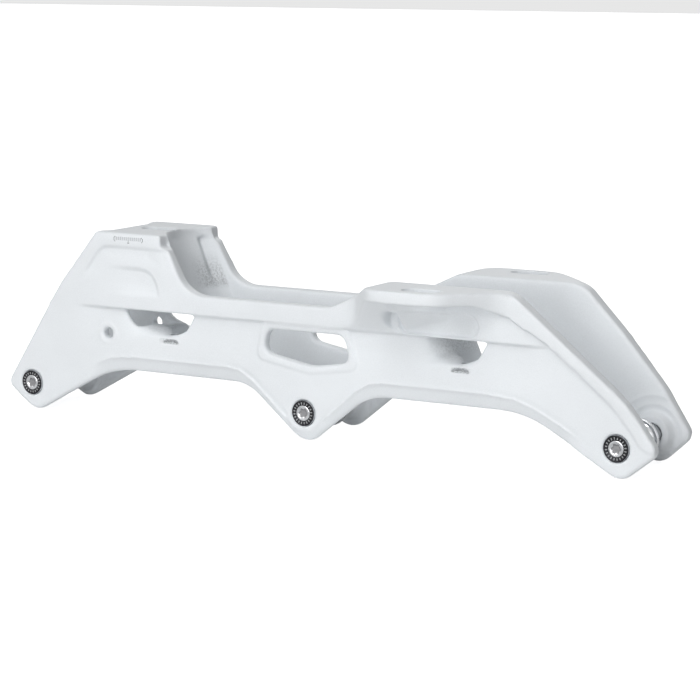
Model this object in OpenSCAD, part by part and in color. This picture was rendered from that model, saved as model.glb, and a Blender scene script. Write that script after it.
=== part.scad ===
// Three-wheel inline skate frame, cast in one piece, with its axles and bearing spacers.
// X points forward, Y to the left and Z up. The origin is the centre of the middle axle.

/* [Wheels] */
// Distance from one axle to the next
axle_pitch = 135; // [132:1:142]
// Radius of the largest wheel that fits
wheel_r = 62.5; // [58:0.5:63]
// Width over the two wheel bearings
hub_w = 24.6; // [24:0.1:26]
// Air between the tyre and the arch over it
well_gap = 2.3; // [1.5:0.1:3]

/* [Side walls] */
// Width over the two lower side walls
body_w = 39.9; // [38:0.1:42]
// Thickness of a side wall
wall = 4.4; // [3.5:0.1:5]
// How far the rail stands out from the lower wall
rail_out = 1.3; // [0.6:0.1:2]
// Height of the rail's lower edge above the axles
rail_z = 35.2; // [33:0.1:37]
// Height of the saddle between heel and toe
saddle_z = 43.3; // [42:0.1:46]
// Height of the lower edge between the axles
belly_z = 9.3; // [7:0.1:11]
// Lowest point of the axle lobes
lobe_z = -11; // [-12:0.1:-10.5]
// Thickness of the arch over a tyre
arch_t = 4.2; // [4:0.1:5.5]
// Rounding of the arch's two shoulders
arch_shoulder = 15; // [11:0.5:15.5]
// Height of the relieved rim along the lower edge
rim_h = 6.4; // [4:0.1:7]
// Depth of that rim
rim_d = 0.7; // [0.3:0.1:1]

/* [Heel mount] */
// Height of the heel plate above the axles
heel_z = 66.8; // [64:0.1:70]
// Place of the heel slot along the frame
heel_x = -82.5; // [-84:0.5:-81]
// Length of the heel plate
heel_l = 32; // [30:0.5:34]
// Width of the heel plate
heel_w = 43.4; // [43:0.1:46]
// Thickness of the heel plate
heel_t = 5.4; // [4.5:0.1:6.5]

/* [Toe mounts] */
// Height of the toe wings above the axles
wing_z = 55; // [53:0.1:57]
// Place of the right wing's slot along the frame
right_wing_x = 60.5; // [58:0.5:63]
// Place of the left wing's slot along the frame
left_wing_x = 73; // [71:0.5:75]
// Distance between the two toe slots, across the frame
toe_span = 66; // [64:0.5:68]
// Width over both wings
wing_w = 83; // [81:0.5:86]
// Thickness of the wings and of the flange down the front edge
wing_t = 5; // [4:0.1:5.5]
// How far the front flange stands out from the lower wall
flange_out = 1.8; // [1.5:0.1:3]

/* [Boot slots] */
// Width of each slot, for the boot screw
slot_w = 8; // [6.5:0.1:8.5]
// Length of each slot, end to end
slot_l = 16; // [14:0.5:18]

/* [Axles] */
// Diameter of the axle shank
axle_d = 8; // [7.9:0.01:8]
// Diameter of the axle head
head_d = 10.4; // [10:0.1:11]
// Thickness of the axle head
head_h = 2.6; // [2.2:0.1:3]
// Depth of the six-lobed drive in the head
drive_depth = 2.8; // [2:0.1:3.2]
// Running clearance between the shank and its bores, on the radius
axle_fit = 0.05; // [0.03:0.01:0.1]
// Diameter of the steel thread insert in the left wall
insert_d = 12; // [11:0.1:13]
// Thickness of casting between the left bearing and the insert
insert_cover = 1.8; // [1.2:0.1:2.5]

/* [Bearing spacers] */
// Length of a spacer, from bearing to bearing
spacer_l = 10.2; // [9:0.1:11]
// Diameter of the spacer's ends
spacer_d = 11; // [10.4:0.1:12]
// Diameter of the collar that centres in the hub
collar_d = 16.6; // [15:0.1:17]
// Width of that collar
collar_w = 1.8; // [1.4:0.1:3]

/* [Brake hole] */
// Diameter of the cross hole for a brake screw
brake_d = 4.5; // [4:0.1:5.5]
// Place of that hole along the frame
brake_x = -95; // [-97:0.5:-93]
// Height of that hole above the axles
brake_z = 24.3; // [23:0.1:26]

/* [Hidden] */
$fn = 64;

cast_white = [0.93, 0.94, 0.95];
steel = [0.62, 0.63, 0.65];
dark_steel = [0.3, 0.31, 0.33];
chrome = [0.8, 0.81, 0.83];

right = -1;
left = 1;
axle_x = [-axle_pitch, 0, axle_pitch];
half = body_w / 2;
inner = half - wall;
rail_half = half + rail_out;
cut = 0.5;
far = 120;

// Radii of the arch over a tyre, at the middle of the frame
well_r = wheel_r + well_gap;
arch_r = well_r + arch_t;

// Lower edge of an axle lobe, before rounding
lobe_slope = 0.85;
lobe_round = 8.5;
lobe_point_z = lobe_z - lobe_round * (sqrt(1 + lobe_slope * lobe_slope) - 1);
belly_run = (belly_z - lobe_point_z) / lobe_slope;
end_slope = 0.55;
end_round = 6.5;
end_tip = 17.2;
belly_round = 42;

// The end lobes sit a little further forward than their axles, and lower than the middle one
lobe_shift = 1.8;
rear_lobe_z = lobe_z - 1.3;
front_lobe_z = lobe_z - 1.7;

// Rear edge of a side wall: top of the heel, where the slope bends, and the tip behind the axle
heel_rear = heel_x - heel_l / 2;
heel_bend_x = heel_x - 36.6;
heel_bend_z = saddle_z + 1.2;
rear_tip_x = -axle_pitch - 13.5;

function unit(v) = v / norm(v);
function turn(a, b) = a.x * b.y - a.y * b.x;

// Points of one rounded corner: b is the corner, r its radius
function corner(a, b, c, r) =
    let (u = unit([a.x - b.x, a.y - b.y]), v = unit([c.x - b.x, c.y - b.y]),
         half_angle = acos(max(-1, min(1, u * v))) / 2,
         reach = min(norm([a.x - b.x, a.y - b.y]), norm([c.x - b.x, c.y - b.y])) * 0.49,
         rr = min(r, reach * tan(half_angle)),
         middle = [b.x, b.y] + unit(u + v) * rr / sin(half_angle),
         first = [b.x, b.y] + u * rr / tan(half_angle) - middle,
         sweep = (180 - 2 * half_angle) * (turn(u, v) > 0 ? -1 : 1),
         steps = max(2, ceil(abs(sweep) / 9)))
    rr < 0.05 ? [[b.x, b.y]] :
    [for (i = [0 : steps])
        let (t = sweep * i / steps)
        middle + [first.x * cos(t) - first.y * sin(t), first.x * sin(t) + first.y * cos(t)]];

// Outline through corners given as [x, y, radius]
function rounded(p) =
    let (n = len(p))
    [for (i = [0 : n - 1]) each corner(p[(i + n - 1) % n], p[i], p[(i + 1) % n], p[i].z)];

// The same corners with every side moved inwards by t; the corners run anticlockwise
function inset(p, t) =
    let (n = len(p))
    [for (i = [0 : n - 1])
        let (b = p[i], u = side_unit(p[(i + n - 1) % n], b), v = side_unit(b, p[(i + 1) % n]),
             shift = [-u.y - v.y, u.x + v.x] * t / (1 + u * v))
        [b.x + shift.x, b.y + shift.y, max(0, b.z - (turn(u, v) > 0 ? t : -t))]];
function side_unit(a, b) = unit([b.x - a.x, b.y - a.y]);

// Places along the top edge of one side wall, from the place of its wing's slot
function ramp_foot(wing_x) = wing_x - 47.5;
function ramp_top(wing_x) = wing_x - 23;
function plateau_end(wing_x) = wing_x + 32.5 - set_back(wing_x);
function set_back(wing_x) = (wing_x - right_wing_x) / 12;

// Front edge of one side wall, from the toe tip up to its wing
function front_edge(wing_x) =
    let (top = [plateau_end(wing_x) - 0.8, wing_z],
         knee = [axle_pitch + 4.8 - set_back(wing_x), 16.9])
    [[axle_pitch + end_tip - 2 * set_back(wing_x), -0.5, 4],
     [knee.x, knee.y, 50],
     [(knee.x + top.x) / 2, (knee.y + top.y) / 2 + set_back(wing_x), 60],
     [top.x, top.y, 12]];

// Outline of one side wall seen from the side
function side_outline(wing_x) = concat([
    [heel_rear - 0.8, heel_z, 2.5],
    [heel_bend_x, heel_bend_z, 80],
    [rear_tip_x, -1.3, 3.5],
    [lobe_shift - axle_pitch, rear_lobe_z, end_round],
    [lobe_shift - axle_pitch + (belly_z - rear_lobe_z) / end_slope, belly_z, belly_round],
    [-belly_run, belly_z, 19],
    [0.5, lobe_point_z, lobe_round],
    [belly_run + 1.6, belly_z - 0.2, 21],
    [lobe_shift + axle_pitch - (belly_z - front_lobe_z) / end_slope, belly_z, belly_round],
    [lobe_shift + axle_pitch, front_lobe_z, end_round]],
    front_edge(wing_x),
    [[ramp_top(wing_x), wing_z, 8],
     [ramp_foot(wing_x), saddle_z, 14],
     [heel_front + 12.5, saddle_z, 14],
     [heel_front + 2.9, heel_z - heel_t - 0.4, 2],
     [heel_front, heel_z - heel_t + 0.4, 1],
     [heel_front, heel_z, 1]]);

// A flat shape in X and Z, given a thickness across the frame from y0 to y1
module across(y0, y1) {
    translate([0, max(y0, y1), 0]) rotate([90, 0, 0])
        linear_extrude(abs(y1 - y0)) children();
}

// A wheel-shaped body about the axle at x: nose_r is its radius, half_w half its width and
// shoulder the rounding of its two edges
module wheel_sweep(x, nose_r, half_w, shoulder) {
    flank = nose_r - shoulder;
    tread = half_w - shoulder;
    translate([x, 0, 0]) rotate([90, 0, 0]) rotate_extrude($fn = 96) {
        translate([0, -half_w]) square([flank, 2 * half_w]);
        translate([0, -tread]) square([nose_r, 2 * tread]);
        for (side = [left, right]) translate([flank, side * tread]) circle(shoulder);
    }
}

module wheel_well(x) {
    wheel_sweep(x, well_r, inner, arch_shoulder - wall);
}
well_foot_z = 13;

// One side wall with its raised rail
module side_wall(side, wing_x) {
    across(side * inner, side * half) polygon(rounded(side_outline(wing_x)));
    intersection() {
        across(side * inner, side * rail_half) difference() {
            polygon(rounded(side_outline(wing_x)));
            translate([-2 * far, rail_z - 2 * far]) square([4 * far, 2 * far]);
        }
        translate([0, 0, rail_z - cut]) linear_extrude(far)
            polygon([for (p = rail_plan) [p.x, side * p.y]]);
    }
}

// The rail fades into the wall at both ends, seen from above
rail_start = heel_x - 30;
rail_end = axle_pitch - 27;
rail_fade = 14;
rail_plan = [[rail_start, 0], [rail_start, half], [rail_start + rail_fade, rail_half],
             [rail_end - rail_fade, rail_half], [rail_end, half], [rail_end, 0]];

// Band of one width along the edge of a side wall, seen from the side
module edge_band(wing_x, width) {
    difference() {
        polygon(rounded(side_outline(wing_x)));
        polygon(rounded(inset(side_outline(wing_x), width)));
    }
}

// Toe wing that turns down into the flange along the front edge
module toe_wing(side, wing_x) {
    foot = ramp_foot(wing_x);
    intersection() {
        across(side * inner, side * wing_w / 2) intersection() {
            edge_band(wing_x, wing_t);
            polygon([[foot, wing_z + cut], [foot, saddle_z - wing_t],
                     [plateau_end(wing_x), saddle_z - wing_t],
                     [axle_pitch - 2, 2 * wing_t], [axle_pitch + end_tip - wing_t, 0],
                     [axle_pitch + 2 * end_tip, 0], [axle_pitch + 2 * end_tip, wing_z + cut]]);
        }
        above_plan(side, wing_x);
    }
}

// Rib under the rear corner of a wing, down to the rail
module wing_gusset(side, wing_x) {
    foot = ramp_foot(wing_x);
    intersection() {
        across(side * inner, side * wing_w / 2) polygon(rounded(side_outline(wing_x)));
        above_plan(side, wing_x);
        translate([foot, 0, 0]) rotate([90, 0, 90])
            linear_extrude(ramp_top(wing_x) - foot + gusset_run) polygon([
                [side * inner, rail_z + 1], [side * rail_half, rail_z + 1],
                [side * (wing_w / 2 - wing_t), wing_z - wing_t + cut],
                [side * inner, wing_z - wing_t + cut]]);
    }
}
gusset_run = 9;

module above_plan(side, wing_x) {
    linear_extrude(far, center = true)
        polygon([for (p = rounded(wing_plan(wing_x))) [p.x, side * p.y]]);
}

// The wing and flange seen from above, for one half of the frame
function wing_plan(wing_x) = [
    [ramp_foot(wing_x) - 1, inner, 0],
    [ramp_foot(wing_x) - 1, rail_half, 0],
    [ramp_foot(wing_x) + 12, rail_half + 1, 10],
    [wing_x - wing_back, wing_w / 2, 10],
    [wing_x + wing_ahead, wing_w / 2, 14],
    [wing_x + flange_ahead, half + flange_out + 1, 14],
    [axle_pitch - 8, half + flange_out, 60],
    [flange_end, half - 0.3, 0],
    [flange_end, inner, 0]];

// Reach of the wing's outer edge behind and before its slot, and of the flange
wing_back = 19;
wing_ahead = 9;
flange_ahead = 28;
flange_end = axle_pitch + 30;

// Arch over the front half of a tyre, which ties the two walls together
module arch(x, low_z, high_z) {
    intersection() {
        difference() {
            wheel_sweep(x, arch_r, half, arch_shoulder);
            wheel_well(x);
        }
        across(-inner - cut, inner + cut) intersection() {
            polygon(rounded(side_outline(right_wing_x)));
            translate([x + 12, low_z]) square([far, high_z - low_z]);
        }
    }
}

// Heel tower between the walls: a plate on a concave, leaning front web
module heel_tower() {
    translate([0, 0, heel_z - heel_t]) linear_extrude(heel_t) difference() {
        polygon(rounded([
            [heel_rear + 1.6, -heel_w / 2, 1], [heel_front, -heel_w / 2, 1],
            [heel_front, heel_w / 2, 1], [heel_rear + 1.6, heel_w / 2, 1]]));
        intersection() {
            translate([notch_x, 0]) circle(notch_r);
            square([4 * far, 2 * inner], center = true);
        }
    }
    intersection() {
        difference() {
            leaning_cylinder(notch_r + web_t);
            leaning_cylinder(notch_r);
        }
        translate([heel_x - heel_l, -inner - cut, rail_z])
            cube([heel_l + 26, 2 * (inner + cut), heel_z - rail_z - cut]);
        translate([notch_x - 2 * notch_r, -inner - cut, rail_z - far])
            cube([2 * notch_r - 2, 2 * (inner + cut), 2 * far]);
    }
}

// Raised border along the top and rear edges of the tower
module heel_rim(side) {
    intersection() {
        across(side * inner, side * heel_w / 2) difference() {
            edge_band(right_wing_x, heel_t);
            translate([heel_front, -far]) square(4 * far);
            translate([-2 * far, -far]) square([4 * far, far + heel_rim_z]);
        }
        linear_extrude(far)
            polygon([[rail_start, 0], [rail_start, side * half],
                     [rail_start + rail_fade, side * heel_w / 2],
                     [heel_front, side * heel_w / 2], [heel_front, 0]]);
    }
}
heel_rim_z = 46;

heel_front = heel_x + heel_l / 2 - 0.5;
web_t = 3.6;
web_lean = 22;
notch_r = 20;
notch_x = heel_front - 7 + notch_r;

// The round notch in front of the web leans forward as it goes down
module leaning_cylinder(r) {
    translate([notch_x, 0, heel_z]) rotate([0, -web_lean, 0])
        translate([0, 0, -far / 2]) cylinder(r = r, h = far);
}

// Side windows
module mid_window() {
    polygon(rounded([[-16.5, 32.3, 3.5], [18.2, 32.5, 4], [21.4, 21.7, 3.5],
                     [3.5, 19, 14], [-18.5, 22.9, 4]]));
}

// Rear window: its rear end at the top, how far its foot lies further forward, and its sill;
// the left one reaches further back and down
duct_rear = heel_x - 4.8;
window_lean = 5;
window_foot = 9;
sill_z = 27.1;
left_reach = 6;
left_drop = 3.3;
left_start = 5;

module rear_window(reach, drop) {
    difference() {
        polygon(rounded([[duct_rear - reach, rail_z, 0],
                         [duct_rear + window_lean - reach, sill_z - drop / 8, 7],
                         [duct_rear + window_lean + window_foot - reach, sill_z - drop, drop],
                         [-well_r / 2, sill_z - drop, 0], [-well_r / 2, rail_z, 0]]));
        circle(rear_edge_r, $fn = 180);
    }
}

// Floor of the duct, between one tyre and the next
module duct_floor(x) {
    reach = axle_pitch - 2 * duct_floor_x;
    translate([x + duct_floor_x, -inner - cut, duct_z - duct_floor_t])
        cube([reach, 2 * (inner + cut), duct_floor_t]);
}

// Duct between the arch of one wheel and the wall in front of it
module duct(x, edge_r) {
    front = x + axle_pitch - well_r / 2;
    difference() {
        across(-far, far) difference() {
            polygon([[x + duct_top_x, rail_z], [x + duct_foot_x, duct_z],
                     [front, duct_z], [front, rail_z]]);
            translate([x + axle_pitch, 0]) circle(edge_r, $fn = 180);
        }
        wheel_sweep(x, arch_r, half, arch_shoulder);
    }
}
duct_top_x = 42;
duct_foot_x = 50.5;
duct_z = 22.6;
duct_floor_x = 48;
duct_floor_t = 2;
rear_edge_r = well_r - 1.9;
front_edge_r = well_r - 0.4;

// One slot of the given centre, cut downwards through a plate
module boot_slot(x, y, top_z) {
    reach = (slot_l - slot_w) / 2;
    for (dx = [-reach, reach])
        translate([x + dx, y, top_z - 12]) cylinder(d = slot_w, h = 12 + cut);
    translate([x - reach, y - slot_w / 2, top_z - 12]) cube([2 * reach, slot_w, 12 + cut]);
}

// Pill-shaped recess under a wing
module pill(side, wing_x) {
    pill_l = 35;
    pill_h = 9.4;
    pill_depth = 0.5;
    pill_back = 3;
    pill_z = (rail_z + wing_z - wing_t) / 2 - 1.9;
    across(side * (rail_half - pill_depth), side * far) {
        translate([wing_x - pill_back, pill_z]) {
            for (dx = [-1, 1]) translate([dx * (pill_l - pill_h) / 2, 0]) circle(d = pill_h);
            square([pill_l - pill_h, pill_h], center = true);
        }
    }
}

// Lower rim: the outline raised by rim_h marks where the relief ends; both ends fade out
module lower_rim(side, wing_x) {
    intersection() {
        across(side * (half - rim_d), side * far) difference() {
            polygon(rounded(side_outline(wing_x)));
            translate([0, rim_h]) polygon(rounded(side_outline(wing_x)));
            for (x = axle_x) translate([x, 0]) circle(d = head_d + 2 * head_border);
        }
        linear_extrude(far, center = true)
            polygon([for (p = [[rim_start, half], [rim_start + rim_fade, half - rim_d],
                               [rim_end - rim_fade, half - rim_d], [rim_end, half],
                               [rim_end, far], [rim_start, far]]) [p.x, side * p.y]]);
    }
}
rim_start = 28 - axle_pitch;
rim_end = axle_pitch - 8;
rim_fade = 16;
head_border = 2.5;

// Seat for an axle: inner boss, bore, counterbore for the head and bore for the insert
boss_d = 17.6;
boss_end_d = 13.6;
head_air = 0.15;
head_face = half + 0.2;
insert_in = hub_w / 2 + insert_cover;

module axle_bosses() {
    for (x = axle_x, side = [left, right])
        translate([x, side * (inner + cut), 0]) rotate([side * 90, 0, 0])
            cylinder(d1 = boss_d, d2 = boss_end_d, h = inner + cut - hub_w / 2);
}

module axle_bores() {
    for (x = axle_x) translate([x, 0, 0]) rotate([90, 0, 0]) {
        translate([0, 0, -insert_in - cut]) cylinder(d = axle_d + 2 * axle_fit, h = far);
        translate([0, 0, head_face - head_h]) cylinder(d = head_d + 2 * head_air, h = far);
        translate([0, 0, -far]) cylinder(d = insert_d, h = far - insert_in);
    }
}

module brake_hole() {
    seat_depth = 0.3;
    seat_d = 1.5 * brake_d;
    translate([brake_x, 0, brake_z]) rotate([90, 0, 0]) {
        cylinder(d = brake_d, h = 2 * far, center = true);
        for (side = [left, right]) translate([0, 0, side * (half + far / 2 - seat_depth)])
            cylinder(d = seat_d, h = far, center = true);
    }
}

module frame_casting() {
    color(cast_white) difference() {
        union() {
            side_wall(right, right_wing_x);
            side_wall(left, left_wing_x);
            toe_wing(right, right_wing_x);
            toe_wing(left, left_wing_x);
            wing_gusset(right, right_wing_x);
            wing_gusset(left, left_wing_x);
            heel_tower();
            heel_rim(right);
            heel_rim(left);
            arch(-axle_pitch, duct_z - duct_floor_t, sill_z);
            arch(0, duct_z - duct_floor_t, saddle_z);
            duct_floor(-axle_pitch);
            duct_floor(0);
            axle_bosses();
        }
        for (x = axle_x) intersection() {
            wheel_well(x);
            translate([-2 * far, -inner, well_foot_z]) cube([4 * far, 2 * inner, far]);
        }
        across(-far, far) mid_window();
        across(-far, left_start) rear_window(0, 0);
        across(left_start, far) rear_window(left_reach, left_drop);
        duct(-axle_pitch, rear_edge_r);
        duct(0, front_edge_r);
        boot_slot(heel_x, 0, heel_z);
        boot_slot(right_wing_x, right * toe_span / 2, wing_z);
        boot_slot(left_wing_x, left * toe_span / 2, wing_z);
        pill(right, right_wing_x);
        pill(left, left_wing_x);
        lower_rim(right, right_wing_x);
        lower_rim(left, left_wing_x);
        axle_bores();
        brake_hole();
    }
}

// Axle with a low round head, pushed in from the right and screwed into the insert
module axle(x) {
    tip = half - 0.4;
    tip_bevel = 0.8;
    head_bevel = 0.4;
    socket_d = 3.6;
    lobe_d = 1.25;
    lobe_pitch = 1.62;
    groove_depth = 0.25;
    groove_edge = 0.8;
    cap_d = 6.2;
    color(dark_steel) translate([x, 0, 0]) rotate([90, 0, 0]) difference() {
        union() {
            translate([0, 0, head_face - head_h]) cylinder(d = head_d, h = head_h - head_bevel);
            translate([0, 0, head_face - head_bevel])
                cylinder(d1 = head_d, d2 = head_d - 2 * head_bevel, h = head_bevel);
            translate([0, 0, tip_bevel - tip])
                cylinder(d = axle_d, h = tip - tip_bevel + head_face - head_h + 0.1);
            translate([0, 0, -tip])
                cylinder(d1 = axle_d - 2 * tip_bevel, d2 = axle_d, h = tip_bevel);
        }
        translate([0, 0, head_face - drive_depth]) {
            cylinder(d = socket_d, h = drive_depth + cut);
            for (i = [0 : 5]) rotate(60 * i) translate([lobe_pitch, 0, 0])
                cylinder(d = lobe_d, h = drive_depth + cut, $fn = 24);
        }
        translate([0, 0, head_face - groove_depth]) difference() {
            cylinder(d = head_d - 2 * groove_edge, h = 1);
            translate([0, 0, -cut]) cylinder(d = cap_d, h = 2);
        }
    }
}

// Spool that keeps two bearings apart and centres in the wheel hub
module bearing_spacer(x) {
    shoulder = 1;
    shoulder_w = 1.4;
    color(chrome) translate([x, 0, 0]) rotate([90, 0, 0]) difference() {
        union() {
            cylinder(d = spacer_d, h = spacer_l, center = true);
            cylinder(d = collar_d, h = collar_w, center = true);
            for (s = [-1, 1]) rotate([s * 90 - 90, 0, 0]) translate([0, 0, collar_w / 2])
                cylinder(d1 = collar_d - 2 * shoulder, d2 = spacer_d, h = shoulder_w);
        }
        cylinder(d = axle_d + 2 * axle_fit, h = spacer_l + 1, center = true);
    }
}

// Steel bush with the axle's thread, pressed into the left wall
module thread_insert(x) {
    color(steel) translate([x, 0, 0]) rotate([-90, 0, 0]) translate([0, 0, insert_in])
        difference() {
            cylinder(d = insert_d, h = half - insert_in);
            translate([0, 0, -cut]) cylinder(d = axle_d + 2 * axle_fit, h = half);
        }
}

frame_casting();
axle(axle_x[0]);  // axle_rear
axle(axle_x[1]);  // axle_middle
axle(axle_x[2]);  // axle_front
bearing_spacer(axle_x[0]);  // bearing_spacer_rear
bearing_spacer(axle_x[1]);  // bearing_spacer_middle
bearing_spacer(axle_x[2]);  // bearing_spacer_front
thread_insert(axle_x[0]);  // thread_insert_rear
thread_insert(axle_x[1]);  // thread_insert_middle
thread_insert(axle_x[2]);  // thread_insert_front
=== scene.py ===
"""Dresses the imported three-wheel inline skate frame: its cast body, axles, spacers and inserts."""

import math

import bmesh
import bpy
import numpy as np
from mathutils import Matrix, Vector


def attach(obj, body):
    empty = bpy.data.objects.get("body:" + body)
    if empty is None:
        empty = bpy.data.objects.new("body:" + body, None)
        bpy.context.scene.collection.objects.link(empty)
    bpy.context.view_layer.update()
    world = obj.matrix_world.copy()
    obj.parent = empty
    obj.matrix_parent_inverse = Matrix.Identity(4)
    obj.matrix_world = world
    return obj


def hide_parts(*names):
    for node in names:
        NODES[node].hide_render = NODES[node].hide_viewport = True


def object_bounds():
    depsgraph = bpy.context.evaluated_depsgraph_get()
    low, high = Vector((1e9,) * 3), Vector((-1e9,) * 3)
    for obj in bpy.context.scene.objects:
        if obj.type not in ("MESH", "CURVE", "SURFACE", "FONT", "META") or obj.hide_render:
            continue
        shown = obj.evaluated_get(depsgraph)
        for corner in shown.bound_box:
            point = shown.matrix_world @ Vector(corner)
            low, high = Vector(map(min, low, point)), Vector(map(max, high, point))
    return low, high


bl_info = {
    "name": "Inline skate frame",
    "version": (1, 0, 0),
    "blender": (4, 5, 0),
    "location": "View3D > Sidebar > Skate frame",
    "description": "Builds the finished surfaces of a cast inline skate frame around its solids",
    "category": "Add Mesh",
}

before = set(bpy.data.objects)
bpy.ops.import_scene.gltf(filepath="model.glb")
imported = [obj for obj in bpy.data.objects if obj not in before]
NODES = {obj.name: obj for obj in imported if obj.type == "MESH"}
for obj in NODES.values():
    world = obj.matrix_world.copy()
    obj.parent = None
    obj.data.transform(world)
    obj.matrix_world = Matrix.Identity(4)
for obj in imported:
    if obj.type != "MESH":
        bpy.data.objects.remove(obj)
CAD_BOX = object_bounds()
MM = 0.001

# Sizes of the solids, in millimetres
PITCH = 135.0
AXLES = {"rear": -PITCH, "middle": 0.0, "front": PITCH}
HALF = 19.95  # outer face of a side wall
INNER = 15.55  # its inner face
RAIL_Z = 35.2  # lower edge of the raised rail
RIM_H = 6.4  # height of the rim along the lower edge
HEEL_X = -82.5  # middle of the heel's slot
HEEL_Z = 66.8  # top of the heel
HEEL_HALF = 21.7  # outer face of the heel's border
WING_X = {-1: 60.5, 1: 73.0}  # place of the right and the left wing's slot
WING_Y = 33.0  # how far out the wings' slots lie
WING_Z = 55.0  # top of the wings
SLOT_REACH = 4.0  # from a slot's middle to the middle of either round end
BRAKE_X, BRAKE_Z = -95.0, 24.3
HEAD_FACE = 20.15  # outer face of the axle heads

# Colours of the small metal parts
TICK_COLOUR = (0.4, 0.41, 0.42)
SOCKET_COLOUR = (0.3, 0.3, 0.31)
INSERT_COLOUR = (0.5, 0.5, 0.52)

# Directions of the lamps from the frame, in the order they are made, and what they share, in metres
LAMPS = {
    "key": (0.0, -1.0, 0.73),
    "low": (0.0, -1.0, 0.035),
    "top": (0.0, -1.0, 1.73),
    "side": (1.73, -1.0, 0.65),
    "back": (-0.2, 1.0, 0.7),
}
LAMP_DISTANCE = 1.6
LAMP_SIZE = 0.9

# The camera as fitted to the photo: lens in millimetres, angles in degrees, and how far it
# stands to the right, up and back, in metres
LENS = 123.33
AZIMUTH, ELEVATION = 30.658, 9.493
EYE = (0.00839, 0.02216, 0.96481)


# ---------------------------------------------------------------- sizes and colours


class CastingProperties(bpy.types.PropertyGroup):
    grain: bpy.props.FloatProperty(
        name="Grain", description="Size of the cells that the cast surface is rebuilt from",
        default=0.5 * MM, min=0.3 * MM, max=1.5 * MM, unit="LENGTH", precision=5)
    softness: bpy.props.IntProperty(
        name="Softness", description="How far the edges of the casting are rounded",
        default=3, min=0, max=60)
    cove: bpy.props.FloatProperty(
        name="Cove", description="Depth of the hollow under the rail",
        default=0.8 * MM, min=0.0, max=2.0 * MM, unit="LENGTH", precision=5)
    chamfer: bpy.props.FloatProperty(
        name="Rim lean", description="How far the rim leans in at the lower edge",
        default=2.0 * MM, min=0.0, max=2.5 * MM, unit="LENGTH", precision=5)
    triangles: bpy.props.IntProperty(
        name="Triangles", description="Triangles kept in the finished casting",
        default=190000, min=20000, max=199000)
    colour: bpy.props.FloatVectorProperty(
        name="Coat colour", description="Colour of the powder coat",
        subtype="COLOR", size=3, default=(0.83, 0.86, 0.885), min=0.0, max=1.0)


class MarkProperties(bpy.types.PropertyGroup):
    colour: bpy.props.FloatVectorProperty(
        name="Mark colour", description="Colour of the printed scale",
        subtype="COLOR", size=3, default=(0.2, 0.21, 0.23), min=0.0, max=1.0)
    pitch: bpy.props.FloatProperty(
        name="Mark spacing", description="Distance from one mark of the scale to the next",
        default=1.0 * MM, min=0.5 * MM, max=3.0 * MM, unit="LENGTH", precision=5)
    count: bpy.props.IntProperty(
        name="Marks", description="Marks on each side of the middle of the scale",
        default=6, min=0, max=12)


class AxleProperties(bpy.types.PropertyGroup):
    ring_colour: bpy.props.FloatVectorProperty(
        name="Ring colour", description="Colour of the dark ring on an axle head",
        subtype="COLOR", size=3, default=(0.022, 0.022, 0.026), min=0.0, max=1.0)
    steel_colour: bpy.props.FloatVectorProperty(
        name="Steel colour", description="Colour of the bare shank and cap",
        subtype="COLOR", size=3, default=(0.7, 0.71, 0.73), min=0.0, max=1.0)
    ticks: bpy.props.IntProperty(
        name="Ticks", description="Light marks round an axle head", default=20, min=0, max=40)


class SpacerProperties(bpy.types.PropertyGroup):
    colour: bpy.props.FloatVectorProperty(
        name="Spacer colour", description="Colour of the bright spools",
        subtype="COLOR", size=3, default=(0.72, 0.73, 0.75), min=0.0, max=1.0)


class StageProperties(bpy.types.PropertyGroup):
    key: bpy.props.FloatProperty(
        name="Key light", description="Strength of the lamp in front and above", default=8.2,
        min=0.0)
    top: bpy.props.FloatProperty(
        name="Top light", description="Strength of the lamp high up in front", default=6.5,
        min=0.0)
    side: bpy.props.FloatProperty(
        name="Side light", description="Strength of the lamp beside the toe", default=1.5,
        min=0.0)
    back: bpy.props.FloatProperty(
        name="Back light", description="Strength of the lamp behind the frame", default=5.2,
        min=0.0)
    low: bpy.props.FloatProperty(
        name="Low light", description="Strength of the lamp level with the frame", default=8.6,
        min=0.0)
    sky: bpy.props.FloatProperty(
        name="Sky", description="Strength of the even light from all round", default=0.09, min=0.0)


# ---------------------------------------------------------------- shader maths


class Term:
    """A value that varies over a surface, with Python's operators."""

    def __init__(self, finish, socket):
        self.finish, self.socket = finish, socket

    def maths(self, operation, *others):
        return self.finish.node("ShaderNodeMath", {"operation": operation}, *others)

    def __add__(self, other):
        return self.maths("ADD", self, other)

    def __sub__(self, other):
        return self.maths("SUBTRACT", self, other)

    def __rsub__(self, other):
        return self.maths("SUBTRACT", other, self)

    def __mul__(self, other):
        return self.maths("MULTIPLY", self, other)

    __radd__ = __add__
    __rmul__ = __mul__

    def step(self, low, high):
        """0 below low, 1 above high and smooth between"""
        return self.finish.node("ShaderNodeMapRange", {"interpolation_type": "SMOOTHSTEP"},
                                self, low, high, 0.0, 1.0)

    def within(self, low, full, still, none):
        """1 from full to still, falling to 0 at low and at none, all in millimetres"""
        return self.step(low * MM, full * MM) * (1 - self.step(still * MM, none * MM))


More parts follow.
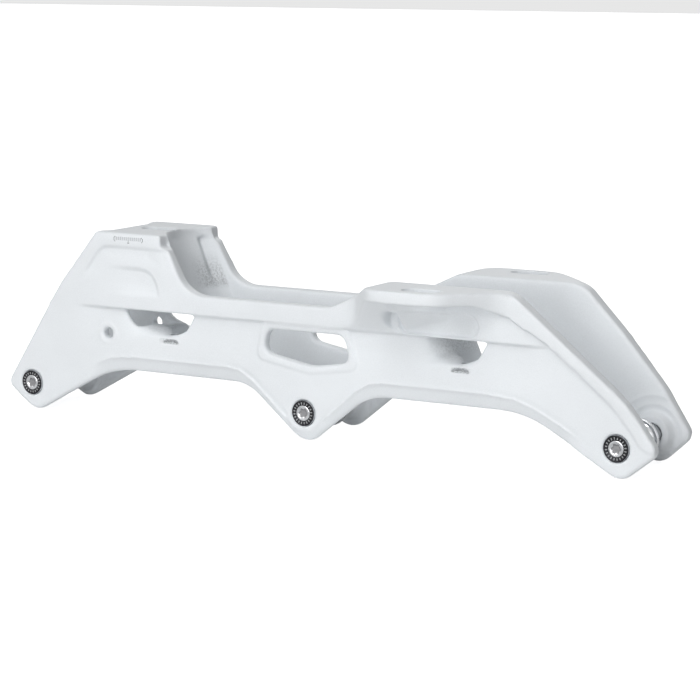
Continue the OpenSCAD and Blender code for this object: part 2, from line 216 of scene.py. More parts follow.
class Finish:
    """One material, made of a Principled shader and what varies over it."""

    def __init__(self, name, colour, roughness, **plain):
        self.material = bpy.data.materials.new(name)
        self.material.use_nodes = True
        self.tree = self.material.node_tree
        self.shader = self.tree.nodes["Principled BSDF"]
        self.set("Base Color", (*colour, 1.0))
        self.set("Roughness", roughness)
        for socket, value in plain.items():
            self.set(socket.replace("_", " "), value)

    def set(self, socket, value):
        """Gives one of the shader's sockets a plain value or a link"""
        self.fill(self.shader.inputs[socket], value)

    def fill(self, target, value):
        if isinstance(value, Term):
            self.tree.links.new(value.socket, target)
        elif value is not None:
            target.default_value = value

    def node(self, kind, settings, *values, output=0, **named):
        """Adds a node: its settings first, then the values or links of its sockets"""
        made = self.tree.nodes.new(kind)
        for key, value in settings.items():
            setattr(made, key, value)
        for socket, value in zip(made.inputs, values):
            self.fill(socket, value)
        for key, value in named.items():
            self.fill(made.inputs[key.replace("_", " ")], value)
        return Term(self, made.outputs[output])

    def place(self):
        """The point on the piece, in metres"""
        return self.node("ShaderNodeTexCoord", {}, output="Object")

    def axes(self):
        """The point's three coordinates, in metres"""
        where = self.place()
        return [self.node("ShaderNodeSeparateXYZ", {}, where, output=name) for name in "XYZ"]

    def noise(self, scale, detail=2.0, roughness=0.5):
        return self.node("ShaderNodeTexNoise", {}, Vector=self.place(), Scale=scale,
                         Detail=detail, Roughness=roughness)

    def blend(self, share, first, second):
        """A colour between two colours"""
        made = self.tree.nodes.new("ShaderNodeMix")
        made.data_type = "RGBA"
        colours = [s for s in made.inputs if s.type == "RGBA"]
        self.fill(made.inputs["Factor"], share)
        for socket, colour in zip(colours, (first, second)):
            self.fill(socket, colour if isinstance(colour, Term) else (*colour, 1.0))
        return Term(self, [s for s in made.outputs if s.type == "RGBA"][0])

    def bump(self, height, distance, strength=1.0, onto=None):
        return self.node("ShaderNodeBump", {}, Strength=strength, Distance=distance,
                         Height=height, Normal=onto)


def shade(colour, factor):
    return tuple(min(1.0, c * factor) for c in colour)


def powder_coat(colour):
    """Fine matt powder coat on a casting, with the sandy grain of the mould under it, and painted
    shade, darker and speckled, in the ducts' corners and at the foot of the heel's web
    """
    coat = Finish("powder_coat", colour, 0.55)
    cloud = coat.noise(28.0, 3.0)
    speck = coat.noise(2600.0, 1.0)
    grain = coat.noise(1500.0, 3.0, 0.65)
    peel = coat.noise(420.0, 2.0)
    x, y, z = coat.axes()
    out = y.maths("ABSOLUTE", y)
    # painted shade, with coarser grain, at the arches' front ends under the rail
    grain_and_painted_shade = z.within(24, 31, 37, 40) * (1 - out.step(19.3 * MM, 19.7 * MM))
    grain_and_painted_shade = grain_and_painted_shade * sum((x - axle * MM).within(52, 66, 70, 71) for axle, _ in CORNERS)
    # painted shade in the small pits in the corner webs
    pit = z.within(22, 22.3, 23.8, 24.6) * out.within(15.6, 16, 19, 19.6)
    grain_and_painted_shade = grain_and_painted_shade + 1.4 * pit * sum((x - axle * MM).within(65.5, 66, 74, 75) for axle, _ in CORNERS)
    # painted shade at the foot of the heel's web, deep in its corner
    foot = out.within(1, 9, 15, 15.5) * z.within(41, 44, 46, 58)
    grain_and_painted_shade = grain_and_painted_shade + foot * x.within(-78, -74, -60, -52)
    # dark specks within the painted shade
    specks_of_shade = coat.noise(1300.0, 3.0, 0.7).step(0.42, 0.62) * grain_and_painted_shade
    plain = coat.blend((cloud * 0.5 + speck * 0.5).step(0.35, 0.65), shade(colour, 0.965),
                       shade(colour, 1.02))
    # the coat is darkened by the painted shade, and more on its specks
    coat.set("Base Color", coat.blend(0.36 * specks_of_shade + 0.14 * grain_and_painted_shade, plain, shade(colour, 0.25)))
    coat.set("Roughness", 0.5 + 0.12 * grain.step(0.3, 0.7))
    coat.set("Normal", coat.bump(grain, 0.05 * MM, 0.8,
                                 coat.bump(peel, 0.06 * MM, 0.5)))
    return coat.material


def turned_metal(name, colour, roughness, axis_x, groove=0.004, metallic=1.0, wear=0.06):
    """Turned metal: fine rings about the axle's line, and soft handling marks"""
    metal = Finish(name, colour, roughness, Metallic=metallic)
    where = metal.node("ShaderNodeMapping", {}, Vector=metal.place(),
                       Location=(-axis_x * MM, 0.0, 0.0))
    stretched = metal.node("ShaderNodeMapping", {}, Vector=where, Scale=(60.0, 6000.0, 60.0))
    rings = metal.node("ShaderNodeTexNoise", {}, Vector=stretched, Scale=1.0, Detail=2.0)
    marks = metal.noise(260.0, 4.0, 0.6)
    metal.set("Base Color", metal.blend(marks.step(0.3, 0.75), shade(colour, 0.9),
                                        shade(colour, 1.06)))
    metal.set("Roughness", roughness + wear * marks.step(0.35, 0.7) + wear * rings.step(0.4, 0.6))
    metal.set("Normal", metal.bump(rings, groove * MM, 0.6))
    return metal.material


def print_ink(name, colour):
    """Thin printed or etched mark"""
    ink = Finish(name, colour, 0.6)
    speck = ink.noise(3000.0, 2.0)
    ink.set("Base Color", ink.blend(speck.step(0.3, 0.7), shade(colour, 0.85), shade(colour, 1.15)))
    ink.set("Roughness", 0.5 + 0.2 * speck)
    return ink.material


# ---------------------------------------------------------------- shapes


def ramp(x, low, high):
    """0 up to low, 1 from high on and smooth between; low may be the larger one"""
    t = np.clip((np.asarray(x, float) - low) / (high - low), 0.0, 1.0)
    return t * t * (3.0 - 2.0 * t)


def band(x, a, b, soft):
    """1 between a and b, fading to 0 within soft outside them"""
    return ramp(x, a - soft, a) * ramp(x, b + soft, b)


def points_of(mesh):
    """The mesh's points in millimetres"""
    co = np.empty(len(mesh.vertices) * 3)
    mesh.vertices.foreach_get("co", co)
    return co.reshape(-1, 3) / MM


def set_points(mesh, points):
    mesh.vertices.foreach_set("co", (points * MM).ravel())
    mesh.update()


def new_piece(name, mesh, body, slot, *materials):
    piece = bpy.data.objects.new(name, mesh)
    bpy.context.scene.collection.objects.link(piece)
    for material in materials:
        mesh.materials.append(material)
    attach(piece, body)
    return piece


def mesh_from(bm, name):
    mesh = bpy.data.meshes.new(name)
    bm.to_mesh(mesh)
    bm.free()
    return mesh


def holder_of(mesh):
    """An object that holds a mesh while a modifier works on it"""
    holder = bpy.data.objects.new("holder", mesh)
    bpy.context.scene.collection.objects.link(holder)
    return holder


def taken_from(holder):
    """The holder's mesh after its modifier; the holder is removed"""
    bpy.context.view_layer.update()
    graph = bpy.context.evaluated_depsgraph_get()
    done = bpy.data.meshes.new_from_object(holder.evaluated_get(graph))
    bpy.data.objects.remove(holder)
    return done


def modified(mesh, kind, **settings):
    """The mesh after one modifier"""
    holder = holder_of(mesh)
    modifier = holder.modifiers.new(kind.lower(), kind)
    for key, value in settings.items():
        setattr(modifier, key, value)
    return taken_from(holder)


def weighted_smooth(mesh, weights, rounds):
    """Evens the surface out where the weights say, without moving anything else"""
    holder = holder_of(mesh)
    group = holder.vertex_groups.new(name="soft")
    steps = np.round(np.clip(weights, 0.0, 1.0) * 10).astype(int)
    for level in range(1, 11):
        group.add([int(i) for i in np.flatnonzero(steps == level)], level / 10.0, "REPLACE")
    modifier = holder.modifiers.new("smooth", "SMOOTH")
    modifier.factor, modifier.iterations, modifier.vertex_group = 0.5, rounds, "soft"
    return taken_from(holder)


def outline_distance(x, z, corners, closed=True):
    """Distance in the X-Z plane from each point to an outline or an open line"""
    best = np.full(x.shape, 1e9)
    for (ax, az), (bx, bz) in zip(corners, corners[1:] + corners[:1] * closed):
        dx, dz = bx - ax, bz - az
        t = np.clip(((x - ax) * dx + (z - az) * dz) / (dx * dx + dz * dz), 0.0, 1.0)
        best = np.minimum(best, np.hypot(x - ax - t * dx, z - az - t * dz))
    return best


# Outlines on the side walls, as points in X and Z
LOWER_EDGE = [(-148.5, -1.3), (-142, -7.0), (-133.2, -11.8), (-128, -10.5), (-110, 0.6),
              (-100, 5.6), (-93, 8.2), (-80, 9.3), (-36, 9.3), (-30, 8.3), (-24, 4.8), (-9, -8.2),
              (-4, -10.6), (0, -11.0), (4, -10.6), (9, -8.2), (24, 4.8), (30, 8.2), (37, 9.3),
              (80, 9.3), (93, 8.2), (101, 5.6), (112, 0.3), (131, -10.7), (137, -12.2),
              (146, -7.0), (152.5, -0.5)]
WINDOW = [(-16.0, 31.8), (17.6, 32.0), (20.8, 22.2), (3.5, 19.6), (-17.8, 23.2)]
POCKET = [(-98.0, 53.0), (-77.0, 52.9), (-74.0, 52.3), (-71.3, 50.6), (-69.4, 48.0),
          (-68.2, 44.5), (-67.6, 41.0), (-98.0, 41.0)]
HEEL_BORDER = [(-109.0, 45.0), (-106.0, 49.9), (-103.3, 53.4), (-100.7, 56.9), (-98.1, 59.6),
               (-95.5, 61.2), (-92.0, 61.6), (-60.0, 61.3)]
ARCH_R = 69.0  # radius of the arches' outer faces at the middle of the frame
ARCH_SHOULDER = 15.0  # rounding from an arch's flat top to its sides
CORNERS = ((-PITCH, 1.6), (0.0, 0.0))  # axle behind a duct, and how much later the duct ends
PIT_X, PIT_Z, PIT_L = 66.0, 22.4, 7.6  # start from the axle, height and length of a web's pit
PILL_X, PILL_Z = 0.5, 40.7  # middle of the pill-shaped recess: from the wing's slot, and height
PILL_REACH, PILL_R = 12.8, 4.6  # half its straight part, and its round ends
GUSSET_BACK = 14.5  # from a wing's slot back to the end of its rib
TURN_AHEAD = 31.5  # from a wing's slot to where the wing turns down into the flange


def arch_depth(reach, height):
    """How far an arch's face lies below the wall's, at a place seen from the axle"""
    over = min(max(math.hypot(reach, height) - (ARCH_R - ARCH_SHOULDER), 0.0), ARCH_SHOULDER)
    return ARCH_SHOULDER - math.sqrt(ARCH_SHOULDER ** 2 - over ** 2)


def add_corner_web(bm, axle, side, late):
    """Thin web in a duct's lower front corner: flush with the wall, then back into the arch"""
    flush_to = [(50, 22.4), (55, 23.4), (60, 24.3), (66, 25.0), (69, 24.9), (71.9 + late, 25.6),
                (75.3 + late, 27.0), (76.9 + late, 27.9), (80, 28.2)]
    middle, length, low, thickness = 65.0, 29.0, 21.2, 4.0
    grid = bmesh.ops.create_grid(bm, x_segments=70, y_segments=24, size=0.5)["verts"]
    for v in grid:
        reach, share = middle + length * v.co.x, v.co.y + 0.5
        flush = np.interp(reach, *zip(*flush_to))
        slope = np.interp(reach, (60.0, 69.0), (4.5, 0.6))
        z = low + (flush + slope - low) * share
        back = min(max(arch_depth(reach, flush + slope) + 0.6, 2.0), 8.0)
        fall = 0.02 + back * max(0.0, (z - flush) / slope) ** 1.5
        v.co = Vector((axle + reach, side * (HALF - fall), z)) * MM
    faces = list(dict.fromkeys(f for v in grid for f in v.link_faces))
    made = bmesh.ops.extrude_face_region(bm, geom=faces)["geom"]
    bmesh.ops.translate(bm, vec=(0.0, -side * thickness * MM, 0.0),
                        verts=[v for v in made if isinstance(v, bmesh.types.BMVert)])
    shell = [f for v in grid for f in v.link_faces]
    shell += [f for f in made if isinstance(f, bmesh.types.BMFace)]
    bmesh.ops.recalc_face_normals(bm, faces=list(dict.fromkeys(shell)))


def add_gusset_end(bm, side):
    """Tapers a wing's rib out along the wall in front of it"""
    start = WING_X[side] - GUSSET_BACK
    corners = [(0, 19.0, 36.4), (0, 20.6, 36.4), (0, 34.5, 50.3), (0, 19.0, 50.3),
               (20, 19.0, 41.0), (20, 19.6, 41.0), (20, 21.0, 50.3), (20, 19.0, 50.3)]
    made = [bm.verts.new(Vector((start + x, side * y, z)) * MM) for x, y, z in corners]
    bmesh.ops.convex_hull(bm, input=made)


def press_casting(points, facing):
    """Hollows and slopes of the casting, as moves of its points; facing is how far each point
    looks forward"""
    props = bpy.context.scene.skate_casting
    x, y, z = points.T.copy()
    side = np.sign(y)
    depth_share = ramp(np.abs(y), INNER + 0.8, HALF - 0.4)
    low_wall = ramp(z, RAIL_Z + 0.5, RAIL_Z - 0.5)
    near_lobe = np.min([np.hypot(x - a, z) for a in AXLES.values()], axis=0)
    away = ramp(near_lobe, 6.0, 12.0)
    window = outline_distance(x, z, WINDOW)
    lip = ramp(window, 4.2, 3.0)
    brake = np.hypot(x - BRAKE_X, z - BRAKE_Z)

    # cove between the ridge and the rail, but not on the window's lip
    hollow = props.cove / MM * band(x, -92, 96, 18) * ramp(z, 15.0, 29.0) * low_wall * (1.0 - lip)
    # the rim leans in below the ridge
    up = z - np.interp(x, *zip(*LOWER_EDGE)) - RIM_H
    lean = np.where(up < 0.0, props.chamfer / MM * np.clip(-up / RIM_H, 0, 1) - 0.7, 0.0)
    lean = (lean - 0.3 * np.exp(-(up / 0.7) ** 2)) * band(x, -95, 112, 10) * away
    # soft ring round the brake hole
    ring = -0.3 * ramp(brake, 5.2, 3.9) * (brake > 2.4)
    y = y - side * depth_share * (hollow + lean + (ring - 0.35 * lip) * low_wall)

    # the heel's wall falls back below its border, and comes out again further down
    below = z < np.interp(x, *zip(*HEEL_BORDER))
    fall = outline_distance(x, z, HEEL_BORDER, closed=False) * below * ramp(x, -110.0, -106.0)
    fall = 0.75 * ramp(fall, 0.1, 1.5) * ramp(fall, 11.0, 2.5) * ramp(z, 46.0, 52.0)
    y = y - side * ramp(np.abs(y), HALF - 1.5, HALF) * fall

    # shallow pocket on the heel tower, deepest at its front upper corner
    within = (band(x, -98, -67.6, 0.1) * band(z, 41, 52.9, 0.1) > 0.5)
    edge = outline_distance(x, z, POCKET)
    signed = np.where(within & (z < np.interp(x, *zip(*POCKET[1:7]))), edge, -edge)
    pocket = 1.4 * ramp(signed, -0.4, 1.9) * ramp(x, -97, -79) * ramp(z, 38.0, 46.5)
    y = y - side * ramp(np.abs(y), HALF - 1.5, HALF) * pocket

    # bare pill-shaped recess under each wing
    wing_x = np.where(side < 0, WING_X[-1], WING_X[1])
    along = np.maximum(np.abs(x - wing_x - PILL_X) - PILL_REACH, 0.0)
    rim = np.hypot(along, z - PILL_Z) - PILL_R
    pill = 1.0 * ramp(rim, 0.1, -0.3) - 0.3 * np.exp(-((rim - 0.5) / 0.5) ** 2)
    y = y - side * ramp(np.abs(y), HALF - 1.2, HALF - 0.2) * pill

    # small pit left open in each corner web
    for axle, late in CORNERS:
        reach = (x - axle - late - PIT_X) / PIT_L
        arc = 2.2 * np.sqrt(np.clip(4.0 * reach * (1.0 - reach), 0.0, 1.0))
        inside = (z > PIT_Z - 0.1) * (arc > 0.0) * (side < 0)
        pit = 3.2 * ramp(z - PIT_Z, np.maximum(arc, 0.01), 0.0) * inside
        y = y - side * ramp(np.abs(y), HALF - 3.5, HALF - 0.6) * pit

    # tight corner between the heel's web and the walls
    crease = 3.0 * np.clip(1.0 - np.abs(np.abs(y) - 13.0) / 3.0, 0.0, 1.0) ** 1.3
    crease = crease * ramp(facing, 0.1, 0.4) * band(x, -78, -56, 2)
    x = x - crease * ramp(z, 43, 48) * ramp(z, 64.0, 61.0)

    # the flange is broader where the wing turns down into it
    turn = x - wing_x - TURN_AHEAD
    share = np.clip((WING_Z - 0.83 * np.maximum(turn, 0.0) - z) / 5.0, 0.0, 1.0) * (z > 20.0)
    share = share * ramp(np.abs(y), HALF + 1.4, HALF + 2.4)
    z = z - 3.7 * share * ramp(turn, -14.0, -2.0) * ramp(turn, 24.0, 0.0)

    # rings of the mould round the bosses, on the walls' inner faces
    for axle in AXLES.values():
        r = np.hypot(x - axle, z)
        ripple = 0.3 * (np.exp(-((r - 11.0) / 0.7) ** 2) + np.exp(-((r - 14.5) / 0.7) ** 2))
        y = y - side * ripple * band(np.abs(y), INNER - 2.0, INNER + 0.6, 0.4)
    return np.stack([x, y, z], -1)


class SKATE_OT_casting(bpy.types.Operator):
    """Cast body with its soft edges, coves and powder coat"""

    bl_idname = "skate.casting"
    bl_label = "Casting"

    def execute(self, context):
        props = context.scene.skate_casting
        bm = bmesh.new()
        bm.from_mesh(NODES["frame_casting"].data)
        bmesh.ops.remove_doubles(bm, verts=bm.verts, dist=1e-6)
        for axle, late in CORNERS:
            add_corner_web(bm, axle, -1, late)
        for side in (-1, 1):
            add_gusset_end(bm, side)
        mesh = mesh_from(bm, "casting_solid")
        mesh = modified(mesh, "REMESH", mode="VOXEL", voxel_size=props.grain,
                        use_smooth_shade=True)
        # bores, slots, the brake hole and the rail keep their edges
        x, y, z = points_of(mesh).T
        bore = np.min([np.hypot(x - a, z) for a in AXLES.values()], axis=0)
        slots = np.min([np.hypot(np.maximum(0.0, np.abs(x - a) - SLOT_REACH), y - b) for a, b in
                        ((HEEL_X, 0.0), (WING_X[-1], -WING_Y), (WING_X[1], WING_Y))], axis=0)
        crisp = np.maximum(ramp(bore, 10.5, 8.5), ramp(slots, 6.5, 5.0) * (z > 44))
        crisp = np.maximum(crisp, ramp(np.hypot(x - BRAKE_X, z - BRAKE_Z), 6.0, 4.0))
        rail = band(z, RAIL_Z - 0.6, RAIL_Z + 0.6, 0.5) * (np.abs(y) > HALF - 0.6)
        crisp = np.maximum(crisp, 0.8 * rail)
        mesh = weighted_smooth(mesh, 1.0 - 0.8 * crisp, props.softness)
        # the ducts' floors and the gussets run softly into the walls
        x, y, z = points_of(mesh).T
        duct = sum(band(x - axle, 50.0, 65.0, 2.0) for axle, _ in CORNERS)
        duct = duct * band(z, 22.0, 29.0, 1.5) * ramp(np.abs(y), 9.0, 11.0)
        gusset = band(x, 40.0, 52.0, 4.0) * band(z, 35.5, 50.0, 1.0) * ramp(np.abs(y), 19.0, 20.5)
        mesh = weighted_smooth(mesh, np.maximum(duct, gusset), 30)
        facing = np.empty(len(mesh.vertices) * 3)
        mesh.vertices.foreach_get("normal", facing)
        set_points(mesh, press_casting(points_of(mesh), facing[0::3]))
        mesh = weighted_smooth(mesh, 0.6 * (1.0 - crisp), 1)
        share = min(1.0, props.triangles / (2.0 * len(mesh.polygons)))
        mesh = modified(mesh, "DECIMATE", ratio=share, use_collapse_triangulate=True)
        mesh.materials.clear()
        mesh.shade_smooth()
        piece = new_piece("casting", mesh, "frame", "casting",
                          powder_coat(tuple(props.colour)))
        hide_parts("frame_casting")
        return {"FINISHED"}


RING_SHIFT = 0.004  # two rings in one plane are bridged across the middle, so they are set off
WELD = 0.01  # points closer than this become one; more than the shift
POINTS_ROUND = 48  # points round an axle or an insert


def loop_of(bm, count, radius, height, shape=None):
    """A ring of points about the Z axis; shape scales its radius by the angle"""
    made = bmesh.ops.create_circle(bm, segments=count, radius=1.0)["verts"]
    for v in made:
        angle = math.atan2(v.co.y, v.co.x)
        r = radius * (shape(angle) if shape else 1.0)
        v.co = Vector((v.co.x * r, v.co.y * r, height))
    return made


def ring_edges(verts):
    """The edges between the points of a ring, each once and in the same order each run"""
    kept = set(verts)
    found = (e for v in verts for e in v.link_edges if set(e.verts) <= kept)
    return list(dict.fromkeys(found))


def lathe(bm, rings, count, close_first=False, close_last=False, skin=0):
    """Joins rings given as (radius, height[, shape]) into one surface; skin is the index of its
    material"""
    edges = [ring_edges(loop_of(bm, count, ring[0], ring[1] + RING_SHIFT * (i % 2), *ring[2:]))
             for i, ring in enumerate(rings)]
    before = set(bm.faces)
    for a, b in zip(edges, edges[1:]):
        bmesh.ops.bridge_loops(bm, edges=a + b)
    for close, loop in ((close_first, edges[0]), (close_last, edges[-1])):
        if close:
            bmesh.ops.edgeloop_fill(bm, edges=loop)
    for face in set(bm.faces) - before:
        face.material_index = skin


def six_lobed(angle):
    """Outline of a six-lobed drive, as a share of its mean radius"""
    return 1.0 + 0.17 * math.cos(6 * angle)


def stand_on_axle(bm, x, faces_right=True):
    """Turns a shape made along Z so that its Z points to the right of the frame, at the axle"""
    turn = Matrix.Rotation(math.radians(90 if faces_right else -90), 4, "X")
    bmesh.ops.scale(bm, vec=(MM, MM, MM), verts=bm.verts)
    bmesh.ops.transform(bm, matrix=Matrix.Translation((x * MM, 0, 0)) @ turn, verts=bm.verts)
    bmesh.ops.recalc_face_normals(bm, faces=bm.faces)


class SKATE_OT_axles(bpy.types.Operator):
    """Axles with a ringed, six-lobed head, a polished shank and a threaded end"""

    bl_idname = "skate.axles"
    bl_label = "Axles"

    def execute(self, context):
        props = context.scene.skate_axles
        for place, x in AXLES.items():
            dark = turned_metal("axle_ring_" + place, tuple(props.ring_colour), 0.34, x,
                                metallic=0.6)
            steel = turned_metal("axle_steel_" + place, tuple(props.steel_colour), 0.2, x)
            mark = print_ink("axle_mark_" + place, TICK_COLOUR)
            socket = turned_metal("axle_socket_" + place, SOCKET_COLOUR, 0.5, x, metallic=0.35)
            piece = new_piece("axle_" + place + "_turned", self.build(props), "axle_" + place,
                              "axle", steel, dark, mark, socket)
            bm = bmesh.new()
            bm.from_mesh(piece.data)
            stand_on_axle(bm, x)
            bm.to_mesh(piece.data)
            bm.free()
            piece.data.shade_smooth()
            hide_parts("axle_" + place)
        return {"FINISHED"}

    def build(self, props):
        bm = bmesh.new()
        face, tip = HEAD_FACE, -(HALF - 0.4)
        # shank from its tip: chamfer, thread over the last part, plain steel up to the head
        rings = [(1.2, tip), (3.1, tip + 0.05), (3.2, tip + 0.1), (3.95, tip + 0.85)]
        turns, height = 12, 8.0
        for i in range(turns * 2):
            rings.append((3.55 if i % 2 == 0 else 3.97, tip + 1.1 + height * i / (turns * 2)))
        rings += [(3.7, tip + 9.5), (3.97, tip + 9.9), (3.97, face - 2.62)]
        # underside and edge of the head
        rings += [(5.0, face - 2.6), (5.19, face - 2.4), (5.19, face - 0.45), (5.12, face - 0.2)]
        lathe(bm, rings, POINTS_ROUND, close_first=True)
        # its face: the dark ring, the bright cap and the socket
        dark = [(5.12, face - 0.2), (4.95, face - 0.05), (4.75, face - 0.01),
                (4.68, face - 0.06), (3.2, face - 0.06), (3.05, face - 0.16)]
        lathe(bm, dark, POINTS_ROUND, skin=1)
        cap = [(3.05, face - 0.16), (2.95, face - 0.04), (2.8, face), (2.3, face - 0.03),
               (2.05, face - 0.12), (1.75, face - 0.3, six_lobed)]
        lathe(bm, cap, POINTS_ROUND)
        drive = [(1.75, face - 0.3, six_lobed), (1.6, face - 0.6, six_lobed), (1.0, face - 0.72),
                 (0.5, face - 0.62), (0.2, face - 0.6)]
        lathe(bm, drive, POINTS_ROUND, close_last=True, skin=3)
        bmesh.ops.remove_doubles(bm, verts=bm.verts, dist=WELD)
        for i in range(props.ticks):
            turn = Matrix.Rotation(2 * math.pi * (i + 0.5) / props.ticks, 4, "Z")
            made = bmesh.ops.create_cube(bm, size=1.0)["verts"]
            bmesh.ops.scale(bm, vec=(0.85, 0.42, 0.05), verts=made)
            bmesh.ops.translate(bm, vec=(3.94, 0, face - 0.045), verts=made)
            bmesh.ops.transform(bm, matrix=turn, verts=made)
            for f in {f for v in made for f in v.link_faces}:
                f.material_index = 2
        return mesh_from(bm, "axle_turned")


class SKATE_OT_spacers(bpy.types.Operator):
    """Bright spools that keep the bearings apart"""

    bl_idname = "skate.spacers"
    bl_label = "Bearing spacers"

    def execute(self, context):
        colour = tuple(context.scene.skate_spacers.colour)
        for place, x in AXLES.items():
            bm = bmesh.new()
            half, bore, rim = 5.1, 4.05, 8.3
            outer = [(bore, -half + 0.3), (bore + 0.3, -half), (5.2, -half), (5.45, -half + 0.25),
                     (5.5, -2.8), (5.65, -2.35), (7.2, -1.0), (7.6, -0.92), (rim - 0.15, -0.9),
                     (rim, -0.75)]
            rings = outer + [(r, -h) for r, h in reversed(outer)] + [(bore, -half + 0.3)]
            lathe(bm, rings, 64)
            bmesh.ops.remove_doubles(bm, verts=bm.verts, dist=WELD)
            stand_on_axle(bm, x)
            mesh = mesh_from(bm, "spacer_turned")
            bright = turned_metal("spacer_bright_" + place, colour, 0.09, x, groove=0.002,
                                  wear=0.03)
            piece = new_piece("spacer_" + place + "_turned", mesh, "spacer_" + place,
                              "spacer", bright)
            mesh.shade_smooth()
            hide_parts("bearing_spacer_" + place)
        return {"FINISHED"}


class SKATE_OT_inserts(bpy.types.Operator):
    """Threaded bushes in the left wall"""

    bl_idname = "skate.inserts"
    bl_label = "Thread inserts"

    def execute(self, context):
        for place, x in AXLES.items():
            bm = bmesh.new()
            bore, rim, low, high = 4.05, 6.0, 14.1, HALF
            rings = [(bore, low + 0.4), (bore + 0.4, low), (rim - 0.3, low), (rim, low + 0.3),
                     (rim, high - 0.3), (rim - 0.3, high), (bore + 0.5, high), (bore, high - 0.5)]
            steps = 16
            rings += [(bore + (0.28 if i % 2 else 0.0), high - 0.5 - (high - low - 1.0) * i / steps)
                      for i in range(1, steps)]
            rings.append(rings[0])
            lathe(bm, rings, POINTS_ROUND)
            bmesh.ops.remove_doubles(bm, verts=bm.verts, dist=WELD)
            stand_on_axle(bm, x, faces_right=False)
            mesh = mesh_from(bm, "insert_turned")
            steel = turned_metal("insert_steel_" + place, INSERT_COLOUR, 0.28, x)
            piece = new_piece("insert_" + place + "_turned", mesh, "frame", "insert", steel)
            mesh.shade_smooth()
            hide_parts("thread_insert_" + place)
        return {"FINISHED"}


class SKATE_OT_marks(bpy.types.Operator):
    """Printed scale on the heel's border, to line the boot up by"""

    bl_idname = "skate.marks"
    bl_label = "Heel scale"

    def execute(self, context):
        props = context.scene.skate_marks
        bm = bmesh.new()
        step, middle, top = props.pitch / MM, HEEL_X, HEEL_Z - 1.7
        # each bar is its middle, its upper end, its width and its height
        bars = [(middle + i * step, top, 0.24, 1.4 if i else 1.9)
                for i in range(-props.count, props.count + 1)]
        for way in (-1, 1):
            end = middle + way * (props.count + 1.1) * step
            bars += [(end - way * 0.4 * (abs(i) > 1), top - 0.68 - 0.42 * i, 0.26, 0.5)
                     for i in (-2, -1, 0, 1, 2)]
        bars.append((middle, top - 2.2, 1.0, 0.3))
        for side in (-1, 1):
            for x, z, width, height in bars:
                made = bmesh.ops.create_cube(bm, size=1.0)["verts"]
                bmesh.ops.scale(bm, vec=(width, 0.06, height), verts=made)
                place = (x, side * (HEEL_HALF - 0.005), z - height / 2)
                bmesh.ops.translate(bm, vec=place, verts=made)
        bmesh.ops.scale(bm, vec=(MM, MM, MM), verts=bm.verts)
        new_piece("heel_scale", mesh_from(bm, "heel_scale"), "frame", "casting",
                  print_ink("scale_ink", tuple(props.colour)))
        return {"FINISHED"}


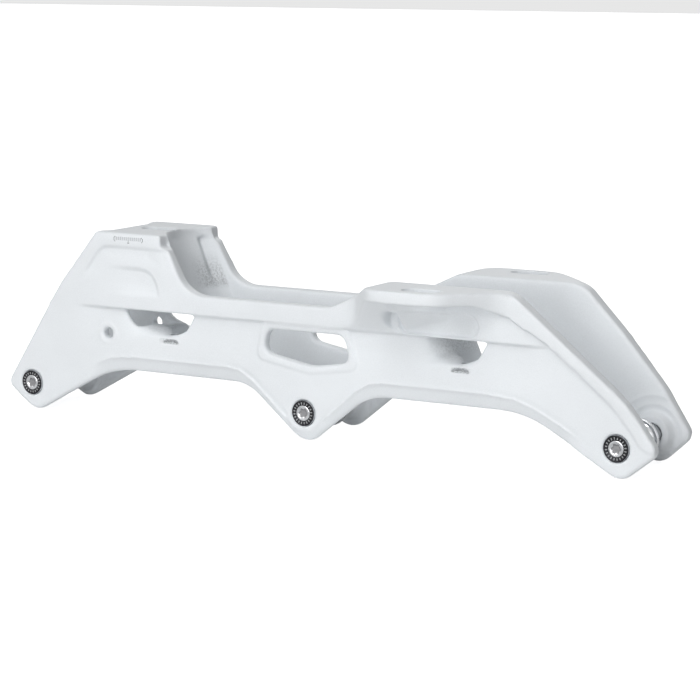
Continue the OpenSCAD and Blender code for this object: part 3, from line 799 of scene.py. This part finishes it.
class SKATE_OT_stage(bpy.types.Operator):
    """Pale floor, soft light and the camera"""

    bl_idname = "skate.stage"
    bl_label = "Stage"

    def execute(self, context):
        props = context.scene.skate_stage
        scene = context.scene
        scene.view_settings.view_transform = "Standard"
        self.floor(CAD_BOX[0].z - 0.0002)
        self.world(scene, props.sky)
        for name, direction in LAMPS.items():
            self.lamp(name, direction, getattr(props, name))
        self.camera(scene)
        return {"FINISHED"}

    def floor(self, height):
        bm = bmesh.new()
        bmesh.ops.create_grid(bm, x_segments=1, y_segments=1, size=6.0)
        bmesh.ops.translate(bm, vec=(0, 0, height), verts=bm.verts)
        mesh = mesh_from(bm, "floor")
        floor = bpy.data.objects.new("floor", mesh)
        bpy.context.scene.collection.objects.link(floor)
        pale = Finish("pale_floor", (0.9, 0.9, 0.9), 0.9)
        glow = pale.node("ShaderNodeLightPath", {}, output="Is Camera Ray")
        # the floor a camera sees is pale grey near the frame and white further off
        spot = pale.node("ShaderNodeVectorMath", {"operation": "LENGTH"}, pale.place(),
                         output="Value")
        paper = pale.blend(spot.step(0.3, 0.9), (0.8, 0.8, 0.8), (1.0, 1.0, 1.0))
        pale.set("Emission Color", pale.blend(glow, (0.0, 0.0, 0.0), paper))
        pale.set("Emission Strength", 1.0)
        mesh.materials.append(pale.material)

    def world(self, scene, strength):
        world = bpy.data.worlds.new("studio")
        scene.world = world
        world.use_nodes = True
        tree = world.node_tree
        even = tree.nodes["Background"]
        even.inputs["Color"].default_value = (0.97, 0.985, 1.0, 1.0)
        even.inputs["Strength"].default_value = strength
        pale = tree.nodes.new("ShaderNodeBackground")
        pale.inputs["Strength"].default_value = 1.0
        path = tree.nodes.new("ShaderNodeLightPath")
        mix = tree.nodes.new("ShaderNodeMixShader")
        join = tree.links.new
        # pale grey where the camera sees it, directly or in a mirror, and else a faint even light
        seen = path.outputs["Is Camera Ray"]
        for ray in ("Is Glossy Ray", "Is Transmission Ray"):
            either = tree.nodes.new("ShaderNodeMath")
            either.operation = "MAXIMUM"
            join(seen, either.inputs[0])
            join(path.outputs[ray], either.inputs[1])
            seen = either.outputs[0]
        join(seen, mix.inputs[0])
        join(even.outputs[0], mix.inputs[1])
        join(pale.outputs[0], mix.inputs[2])
        join(mix.outputs[0], tree.nodes["World Output"].inputs["Surface"])

    def lamp(self, name, direction, energy):
        data = bpy.data.lights.new(name, "AREA")
        data.shape, data.size, data.energy = "DISK", LAMP_SIZE, energy
        lamp = bpy.data.objects.new(name, data)
        bpy.context.scene.collection.objects.link(lamp)
        way = Vector(direction).normalized()
        lamp.location = way * LAMP_DISTANCE
        lamp.rotation_mode = "QUATERNION"
        lamp.rotation_quaternion = (-way).to_track_quat("-Z", "Y")

    def camera(self, scene):
        data = bpy.data.cameras.new("camera")
        data.sensor_width, data.lens = 36.0, LENS
        data.clip_start, data.clip_end = 0.05, 50.0
        camera = bpy.data.objects.new("camera", data)
        scene.collection.objects.link(camera)
        azimuth, elevation = math.radians(AZIMUTH), math.radians(ELEVATION)
        right = Vector((math.cos(azimuth), math.sin(azimuth), 0.0))
        back = Vector((math.sin(azimuth) * math.cos(elevation),
                       -math.cos(azimuth) * math.cos(elevation), math.sin(elevation)))
        up = back.cross(right)
        camera.location = EYE[0] * right + EYE[1] * up + EYE[2] * back
        turn = Matrix((right, up, back)).transposed()
        camera.rotation_euler = turn.to_euler()
        scene.camera = camera


class SKATE_PT_panel(bpy.types.Panel):
    """Lists the pieces of the skate frame"""

    bl_idname = "SKATE_PT_panel"
    bl_label = "Skate frame"
    bl_space_type = "VIEW_3D"
    bl_region_type = "UI"
    bl_category = "Skate frame"

    def draw(self, context):
        column = self.layout.column()
        for operator in PIECES:
            column.operator(operator.bl_idname)
        for group in GROUPS:
            props = getattr(context.scene, group)
            for key in GROUPS[group].__annotations__:
                column.prop(props, key)


PIECES = (SKATE_OT_casting, SKATE_OT_marks, SKATE_OT_axles, SKATE_OT_spacers, SKATE_OT_inserts,
          SKATE_OT_stage)
GROUPS = {
    "skate_casting": CastingProperties,
    "skate_marks": MarkProperties,
    "skate_axles": AxleProperties,
    "skate_spacers": SpacerProperties,
    "skate_stage": StageProperties,
}


def register():
    for kind in (*GROUPS.values(), *PIECES, SKATE_PT_panel):
        bpy.utils.register_class(kind)
    for name, kind in GROUPS.items():
        setattr(bpy.types.Scene, name, bpy.props.PointerProperty(type=kind))


def unregister():
    for name in GROUPS:
        delattr(bpy.types.Scene, name)
    for kind in reversed((*GROUPS.values(), *PIECES, SKATE_PT_panel)):
        bpy.utils.unregister_class(kind)


def main():
    register()
    for operator in PIECES:
        group, name = operator.bl_idname.split(".")
        getattr(getattr(bpy.ops, group), name)()


if __name__ == "__main__":
    main()
